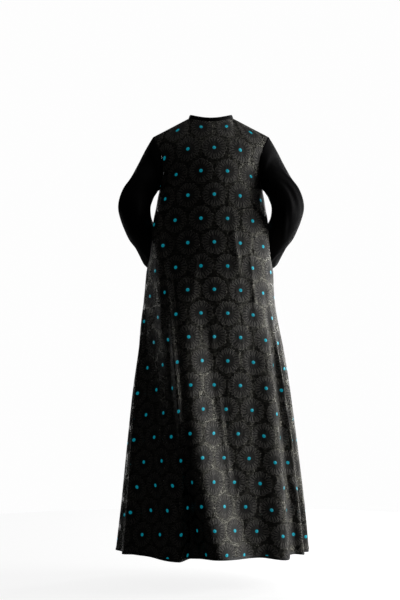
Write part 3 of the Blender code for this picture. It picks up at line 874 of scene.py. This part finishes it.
# Creases of a sleeve: from one point to another, by the distance along the arm and the way round it
SLEEVE_CREASE_COLUMNS = ("along_top", "around_top", "along_low", "around_low", "height", "half_around")
SLEEVE_CREASES = (
    (0.070, 40.0, 0.200, 20.0, 0.0045, 16.0),
    (0.100, 75.0, 0.190, 60.0, -0.0040, 18.0),
    (0.150, -20.0, 0.215, -60.0, 0.0040, 18.0),
    (0.175, -50.0, 0.235, -110.0, 0.0050, 20.0),
    (0.200, -80.0, 0.270, -140.0, -0.0045, 20.0),
    (0.160, 110.0, 0.260, 90.0, 0.0040, 18.0),
    (0.240, 30.0, 0.380, 10.0, 0.0040, 15.0),
    (0.270, 160.0, 0.400, 175.0, 0.0045, 18.0),
    (0.290, -60.0, 0.420, -45.0, -0.0035, 16.0),
    (0.330, 80.0, 0.450, 95.0, 0.0040, 16.0),
    (0.040, -70.0, 0.120, -85.0, 0.0035, 18.0),
    (0.360, -120.0, 0.452, -110.0, 0.0035, 15.0),
)
NAMED_SLEEVE_CREASES = [dict(zip(SLEEVE_CREASE_COLUMNS, row)) for row in SLEEVE_CREASES]
ARM_LENGTH = SLEEVE_RINGS[-1][0]


@lru_cache(maxsize=None)
def sleeve_ring(along):
    """The centre, half sizes and tilt of a sleeve's ring."""
    return tuple(through(SLEEVE_RINGS, SLEEVE_COLUMNS, "along", along, name) for name in SLEEVE_COLUMNS[1:])


def sleeve_path(along):
    return Vector(sleeve_ring(along)[:3])


def sleeve_crease(along, around):
    """How far the creases stand out at a point of a sleeve."""
    out = 0.0
    for crease in NAMED_SLEEVE_CREASES:
        t = (along - crease["along_top"]) / (crease["along_low"] - crease["along_top"])
        if 0.0 < t < 1.0:
            line = crease["around_top"] + (crease["around_low"] - crease["around_top"]) * t
            away = abs(turn_between(around, line)) / crease["half_around"]
            if away < 1.0:
                out += crease["height"] * sin(pi * t) * (0.5 + 0.5 * cos(pi * away))
    return out


def sleeve_point(u, v, depth, side):
    """A point of a sleeve: u goes round the ring and v from the armhole to the cuff."""
    along = ARM_LENGTH * v
    x, y, z, across, deep, tilt = sleeve_ring(along)
    outer_side = Vector((cos(radians(tilt)), 0.0, sin(radians(tilt))))
    square = Vector((sin(ARMHOLE_TILT), 0.0, -cos(ARMHOLE_TILT)))
    path = sleeve_path(min(along + SLEEVE_LOOK, ARM_LENGTH)) - sleeve_path(max(along - SLEEVE_LOOK, 0.0))
    heading = square.lerp(path.normalized(), smooth(along / SLEEVE_TURN_END)).normalized()
    deep_way = outer_side.cross(heading).normalized()
    out = sleeve_crease(along, 360.0 * u) - SLEEVE_WALL * depth
    a = 2.0 * pi * u
    point = Vector((x, y, z)) + outer_side * ((across + out) * cos(a)) + deep_way * ((deep + out) * sin(a))
    point.x += SEAM_ROOM - ARMHOLE_BOW * sin(a) ** 2 * (1.0 - smooth(along / SLEEVE_BOW_END))
    return Vector((point.x * side, point.y, point.z))


black_crepe, tree, shader, cut = cloth_material("black crepe")
pebbles = tree.nodes.new("ShaderNodeTexVoronoi")
pebbles.inputs["Scale"].default_value = 900.0
tree.links.new(cut, pebbles.inputs["Vector"])
drape = noise_of(tree, cut, 14.0, 3.0, (1.0, 0.6, 1.0))
colour = mixed(tree, drape, (0.0045, 0.0043, 0.0050), (0.0080, 0.0076, 0.0085))
tree.links.new(colour, shader.inputs["Base Color"])
tree.links.new(sum_of(tree, "ADD", sum_of(tree, "MULTIPLY", drape, 0.12), 0.62), shader.inputs["Roughness"])
below = raised(tree, shader, drape, 0.004)
raised(tree, shader, pebbles.outputs["Distance"], 0.0002, below)
set_inputs(shader, Specular_IOR_Level=0.14)

sleeves = {}
for side, hand in ((1, "left"), (-1, "right")):
    sleeves[hand] = laid_cloth(
        f"{hand}_sleeve_crepe", SLEEVE_SIDES, SLEEVE_STEPS,
        lambda u, v, depth: sleeve_point(u, v, depth, side), lambda v: 0.5,
        straight_cut, SLEEVE_WALL, ring=True)
    sleeves[hand].data.materials.append(black_crepe)
    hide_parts(f"{hand}_sleeve")


# Neck band.
# A narrow upright band of the crepe, folded double, that encloses the raw neck edge of the organza.
BAND_WALL = 0.0014
BAND_HEIGHT = 0.0131
BAND_SEAT = -0.0028
BAND_OUT = 0.0008
BAND_LEAN = 0.35
BAND_CROWN = 0.0006
BAND_COLUMNS = 180
BAND_ROWS = 8
NEXT_TO_NOTHING = 1e-9


def band_point(u, v, depth):
    """The neck band stands on the neck edge, and its right end laps over its left."""
    lap = degrees(asin(LAP_HALF / NECK_HALF_WIDTH))
    around = (180.0 + lap) * (1.0 - 2.0 * u)
    front = abs(around) > 90.0
    lift = lap_lift(neck_point(around).x, -1) if around < -90.0 else 0.0
    edge = cloth_point(neck_turn(around), 0.0, front, lift + NEXT_TO_NOTHING, 1.0, 0.0)
    ahead = neck_point(around + NECK_LOOK) - neck_point(around - NECK_LOOK)
    inward = Vector((-edge.x, -edge.y, 0.0)).normalized()
    rise = (Vector((0.0, 0.0, 1.0)) + inward * BAND_LEAN).normalized()
    inside = ahead.cross(rise).normalized()
    if inside.dot(inward) < 0.0:
        inside.negate()
    crown = BAND_CROWN * sin(pi * v)
    return edge + rise * (BAND_SEAT + BAND_HEIGHT * v) + inside * (BAND_WALL * depth - crown - BAND_OUT)


neck_band = laid_cloth("neck_band_crepe", BAND_COLUMNS, BAND_ROWS, band_point, lambda v: 0.5,
                       straight_cut, BAND_WALL)
neck_band.data.materials.append(black_crepe)
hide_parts("neck_band")


# Rolled hem.
# The organza's lower edge is rolled twice and stitched, so a narrow dark band of several layers runs
# round the hem, and up both front edges.
HEM_COLUMNS = ("down", "out")
HEM_PROFILE = ((-0.0075, 0.0004), (-0.0055, 0.0009), (-0.0025, 0.0011), (-0.0003, 0.0008), (0.0006, 0.0),
               (-0.0003, -0.0008), (-0.0040, -0.0010), (-0.0075, -0.0006))
ROLL_STEPS = 7
EDGE_ROWS = 150
EDGE_TOP = 0.004
EDGE_SHORT = 0.010

rolled, tree, shader, cut = cloth_material("rolled organza edge")
threads = placed(tree, weave, Place=cut, Threads_per_metre=ORGANZA_THREADS)
lumps = noise_of(tree, cut, 90.0, 3.0, (1.0, 1.0, 1.0))
colour = mixed(tree, lumps, (0.012, 0.012, 0.012), (0.045, 0.045, 0.042))
tree.links.new(colour, shader.inputs["Base Color"])
tree.links.new(sum_of(tree, "ADD", sum_of(tree, "MULTIPLY", lumps, 0.2), 0.38), shader.inputs["Roughness"])
below = raised(tree, shader, lumps, 0.0012)
raised(tree, shader, threads.outputs["Thread"], 0.00008, below)


def rolled_at(v):
    """How far below the edge, and how far out of the cloth, the roll runs at v from 0 to 1."""
    place = v * (len(HEM_PROFILE) - 1)
    i = min(int(place), len(HEM_PROFILE) - 2)
    low, high = (dict(zip(HEM_COLUMNS, row)) for row in HEM_PROFILE[i:i + 2])
    return tuple(low[name] + (high[name] - low[name]) * (place - i) for name in HEM_COLUMNS)


def hem_back(u, v, depth):
    down, out = rolled_at(v)
    return cloth_point(back_turn(u, LENGTH), LENGTH + down, False, out - SHEER_WALL * depth)


def hem_front(u, v, depth, side):
    down, out = rolled_at(v)
    turn = front_turn(u, LENGTH, side, LAP_HALF)
    x = plain_point(turn, LENGTH, True, 1.0, 0.0).x
    return cloth_point(turn, LENGTH + down, True, out + lap_lift(x, side) - SHEER_WALL * depth)


def edge_front(u, v, depth, side):
    """The roll up a front's edge: u goes across the roll, and v from the neck to the hem."""
    past, out = rolled_at(u)
    down = EDGE_TOP + (LENGTH - EDGE_SHORT) * v
    turn = 180.0 + degrees(asin((LAP_HALF + past) / section(down)[0]))
    lift = out + LAP_LIFT * (side < 0) - SHEER_WALL * depth
    return cloth_point(turn if side > 0 else -turn, down, True, lift)


hems = {"back": laid_cloth("back_hem_roll", BACK_COLUMNS, ROLL_STEPS, hem_back, lambda v: 0.5, straight_cut)}
for side, hand in ((1, "left"), (-1, "right")):
    hems[hand] = laid_cloth(
        f"{hand}_front_hem_roll", FRONT_COLUMNS, ROLL_STEPS,
        lambda u, v, depth: hem_front(u, v, depth, side), lambda v: 0.5, straight_cut)
    hems[hand + " edge"] = laid_cloth(
        f"{hand}_front_edge_roll", ROLL_STEPS, EDGE_ROWS,
        lambda u, v, depth: edge_front(u, v, depth, side), lambda v: 0.5, straight_cut)
for roll in hems.values():
    roll.data.materials.append(rolled)


# Studio.
# A wide pale floor, a pale round backdrop that shows only from inside, and soft light from the right of
# the picture and from the front of the robe.
FLOOR_LEVEL = -1.50
FLOOR_RADIUS = 8.0
ROOM_RADIUS = 2.05
ROOM_HEIGHT = 4.5
PALE = (0.985, 0.985, 0.985)
CIRCLE_SIDES = 128


def staged(name, shape, material):
    """A piece of the studio, seen by the camera alone, so that only the lights light the robe."""
    mesh = bpy.data.meshes.new(name)
    shape.to_mesh(mesh)
    shape.free()
    mesh.materials.append(material)
    made = bpy.data.objects.new(name, mesh)
    bpy.context.scene.collection.objects.link(made)
    made.visible_diffuse = False
    made.visible_glossy = False
    made.visible_transmission = False
    made.visible_shadow = False
    return made


pale_floor = bpy.data.materials.new("pale floor")
pale_floor.use_nodes = True
shader = pale_floor.node_tree.nodes["Principled BSDF"]
set_inputs(shader, Base_Color=(0.30, 0.30, 0.30, 1.0), Roughness=0.50, Specular_IOR_Level=0.35,
           Emission_Color=(1.0, 1.0, 1.0, 1.0), Emission_Strength=0.86)
shape = bmesh.new()
bmesh.ops.create_circle(shape, cap_ends=True, segments=CIRCLE_SIDES, radius=FLOOR_RADIUS)
bmesh.ops.translate(shape, vec=(0.0, 0.0, FLOOR_LEVEL), verts=shape.verts[:])
staged("floor", shape, pale_floor)

pale_wall = bpy.data.materials.new("pale backdrop")
pale_wall.use_nodes = True
nodes = pale_wall.node_tree.nodes
links = pale_wall.node_tree.links
shader = nodes["Principled BSDF"]
set_inputs(shader, Base_Color=(0.0, 0.0, 0.0, 1.0), Specular_IOR_Level=0.0,
           Emission_Color=(*PALE, 1.0), Emission_Strength=1.0)
facing = nodes.new("ShaderNodeNewGeometry")
clear = nodes.new("ShaderNodeBsdfTransparent")
either = nodes.new("ShaderNodeMixShader")
links.new(facing.outputs["Backfacing"], either.inputs[0])
links.new(shader.outputs[0], either.inputs[1])
links.new(clear.outputs[0], either.inputs[2])
links.new(either.outputs[0], nodes["Material Output"].inputs["Surface"])
shape = bmesh.new()
bmesh.ops.create_circle(shape, cap_ends=False, segments=CIRCLE_SIDES, radius=ROOM_RADIUS)
bmesh.ops.translate(shape, vec=(0.0, 0.0, FLOOR_LEVEL), verts=shape.verts[:])
raised_edge = bmesh.ops.extrude_edge_only(shape, edges=shape.edges[:])
top = [item for item in raised_edge["geom"] if isinstance(item, bmesh.types.BMVert)]
bmesh.ops.translate(shape, vec=(0.0, 0.0, ROOM_HEIGHT), verts=top)
shape.normal_update()
if any(face.normal.dot(face.calc_center_median() * Vector((1.0, 1.0, 0.0))) > 0.0 for face in shape.faces):
    bmesh.ops.reverse_faces(shape, faces=shape.faces[:])
staged("backdrop", shape, pale_wall)


def soft_light(name, place, aim, width, height, watts):
    lamp = bpy.data.lights.new(name, "AREA")
    lamp.shape = "RECTANGLE"
    lamp.size = width
    lamp.size_y = height
    lamp.energy = watts
    made = bpy.data.objects.new(name, lamp)
    bpy.context.scene.collection.objects.link(made)
    made.location = place
    made.rotation_euler = (Vector(aim) - Vector(place)).to_track_quat("-Z", "Y").to_euler()
    made.visible_camera = False


LIGHT_COLUMNS = ("name", "place", "aim", "width", "height", "watts")
LIGHTS = (
    ("key", (-2.6, -0.1, -0.4), (0.0, 0.0, -0.85), 1.3, 2.6, 58.0),
    ("rim right", (-1.9, -1.9, -0.3), (0.0, 0.0, -0.8), 0.5, 2.4, 34.0),
    ("rim left", (2.2, -2.3, -0.4), (0.0, 0.0, -0.8), 0.8, 2.4, 8.0),
    ("front fill", (-1.2, -3.6, 0.2), (0.0, 0.0, -0.7), 2.0, 2.0, 18.0),
    ("top", (-0.4, 0.4, 2.6), (0.0, 0.0, -0.4), 1.6, 1.6, 6.0),
)
for row in LIGHTS:
    soft_light(**dict(zip(LIGHT_COLUMNS, row)))

world = bpy.data.worlds.new("studio")
bpy.context.scene.world = world
world.use_nodes = True
nodes = world.node_tree.nodes
links = world.node_tree.links
set_inputs(nodes["Background"], Color=(1.0, 1.0, 1.0, 1.0), Strength=0.014)
seen_pale = nodes.new("ShaderNodeBackground")
set_inputs(seen_pale, Color=(*PALE, 1.0))
ray = nodes.new("ShaderNodeLightPath")
either = nodes.new("ShaderNodeMixShader")
links.new(ray.outputs["Is Camera Ray"], either.inputs[0])
links.new(nodes["Background"].outputs[0], either.inputs[1])
links.new(seen_pale.outputs[0], either.inputs[2])
links.new(either.outputs[0], nodes["World Output"].inputs["Surface"])
bpy.context.scene.view_settings.view_transform = "Standard"

view = bpy.data.cameras.new("view")
view.sensor_width = 36.0
view.lens = 91.2
camera = bpy.data.objects.new("view", view)
bpy.context.scene.collection.objects.link(camera)
camera.location = (0.036, 5.0, -0.70)
camera.rotation_euler = Euler((radians(91.32), 0.0, pi))
bpy.context.scene.camera = camera

bpy.context.view_layer.update()
